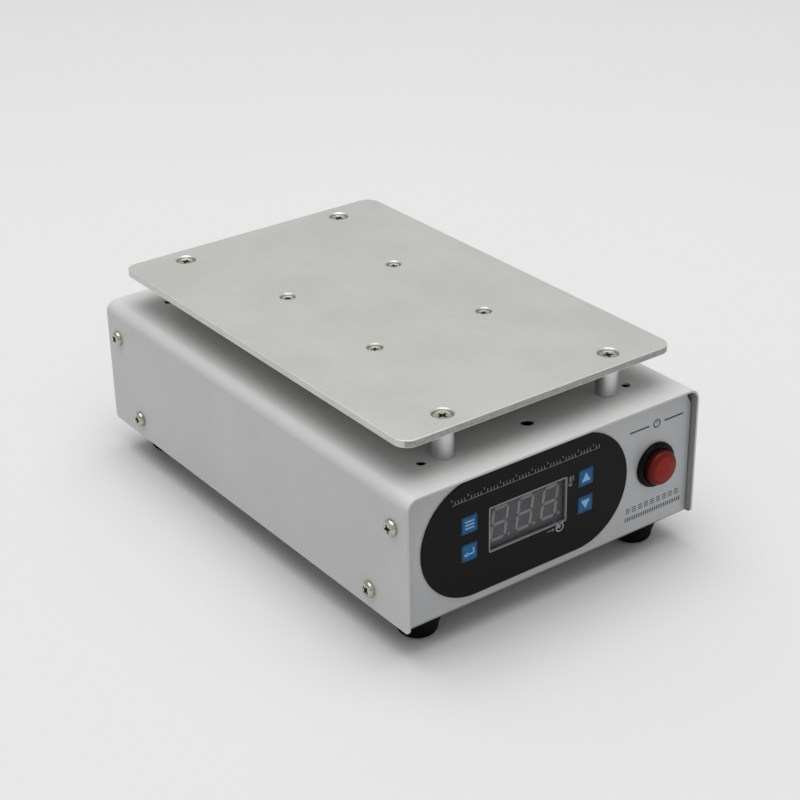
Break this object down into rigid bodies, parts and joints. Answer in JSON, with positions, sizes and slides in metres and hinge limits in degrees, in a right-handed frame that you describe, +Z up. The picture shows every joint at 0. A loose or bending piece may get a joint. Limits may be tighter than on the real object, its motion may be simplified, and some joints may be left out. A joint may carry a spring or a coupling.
{
  "type": "laboratory heating platform",
  "caption": "Bench heating platform: flat metal hot plate on four standoffs above a folded sheet case with a digital keypad, red power button and rear inlet.",
  "frame": {"origin": "on the floor below the middle of the case, under the rubber feet", "axes": "+X to the right along the front, +Y from the front panel to the rear panel, +Z up"},
  "size_m": [0.1464, 0.2226, 0.086],
  "materials": {
    "powder_coat": "satin",
    "zinc_sheet": "satin",
    "silver_film": "satin",
    "black_film": "satin",
    "smoked_window": "gloss",
    "key_film": "satin",
    "black_plastic": "satin",
    "segment_print": "matt",
    "clear_lens": "gloss",
    "board_laminate": "satin",
    "nickel_plate": "satin",
    "red_plastic": "gloss",
    "spring_steel": "satin",
    "core_steel": "matt",
    "winding_tape": "satin",
    "sink_aluminium": "satin",
    "capacitor_sleeve": "gloss",
    "terminal_green": "satin",
    "contact_brass": "satin",
    "plate_aluminium": "brushed",
    "mica": "satin",
    "fibre_mat": "matt",
    "black_rubber": "matt",
    "lead_sleeve": "matt",
    "ribbon_grey": "satin",
    "lead_brown": "satin",
    "lead_blue": "satin",
    "lead_green": "satin"
  },
  "bodies": {
    "case": {"cover": "powder_coat", "chassis_tray": "zinc_sheet", "front_label": "silver_film", "keypad_membrane": "black_film", "display_window": "smoked_window", "tact_switches": "black_plastic", "display_module": "black_plastic", "display_segments": "segment_print", "output_led": "clear_lens", "display_board": "board_laminate", "display_board_parts": "black_plastic", "board_standoffs": "nickel_plate", "board_screws": "nickel_plate", "switch_housing": "black_plastic", "switch_nut": "nickel_plate", "switch_base": "black_plastic", "button_spring": "spring_steel", "power_board": "board_laminate", "transformer_core": "core_steel", "transformer_coil": "winding_tape", "heat_sink": "sink_aluminium", "triac": "black_plastic", "capacitors": "capacitor_sleeve", "terminal_block": "terminal_green", "inlet_housing": "black_plastic", "inlet_pins": "contact_brass", "inlet_fasteners": "nickel_plate", "heating_plate": "plate_aluminium", "heater_element": "mica", "insulating_mat": "fibre_mat", "heater_clamp": "zinc_sheet", "clamp_fasteners": "nickel_plate", "plate_screws": "nickel_plate", "standoffs": "sink_aluminium", "standoff_screws": "nickel_plate", "wire_grommet": "black_rubber", "heater_leads": "lead_sleeve", "temperature_probe": "nickel_plate", "probe_lead": "lead_sleeve", "ribbon_cable": "ribbon_grey", "live_lead": "lead_brown", "neutral_lead": "lead_blue", "switched_lead": "lead_brown", "earth_lead": "lead_green", "earth_stud": "nickel_plate", "rubber_feet": "black_rubber", "foot_fasteners": "nickel_plate", "cover_screws": "nickel_plate"},
    "power_button": {"power_button": "red_plastic"},
    "set_key": {"key_set": "key_film", "plunger_set": "black_plastic"},
    "enter_key": {"key_enter": "key_film", "plunger_enter": "black_plastic"},
    "up_key": {"key_up": "key_film", "plunger_up": "black_plastic"},
    "down_key": {"key_down": "key_film", "plunger_down": "black_plastic"},
    "fuse_drawer": {"fuse_drawer": "black_plastic", "fuses": "nickel_plate"}
  },
  "joints": [
    {"name": "power_button_press", "type": "slide", "parent": "case", "child": "power_button", "axis": [0, 1, 0], "range_m": [0, 0.003], "stiffness_N_per_m": 400, "springref_m": -0.004, "deforming": ["button_spring"]},
    {"name": "set_key_press", "type": "slide", "parent": "case", "child": "set_key", "axis": [0, 1, 0], "range_m": [0, 0.0003], "stiffness_N_per_m": 3000, "springref_m": -0.0002},
    {"name": "enter_key_press", "type": "slide", "parent": "case", "child": "enter_key", "axis": [0, 1, 0], "range_m": [0, 0.0003], "stiffness_N_per_m": 3000, "springref_m": -0.0002},
    {"name": "up_key_press", "type": "slide", "parent": "case", "child": "up_key", "axis": [0, 1, 0], "range_m": [0, 0.0003], "stiffness_N_per_m": 3000, "springref_m": -0.0002},
    {"name": "down_key_press", "type": "slide", "parent": "case", "child": "down_key", "axis": [0, 1, 0], "range_m": [0, 0.0003], "stiffness_N_per_m": 3000, "springref_m": -0.0002},
    {"name": "fuse_drawer_slide", "type": "slide", "parent": "case", "child": "fuse_drawer", "axis": [0, 1, 0], "range_m": [0, 0.02]}
  ]
}
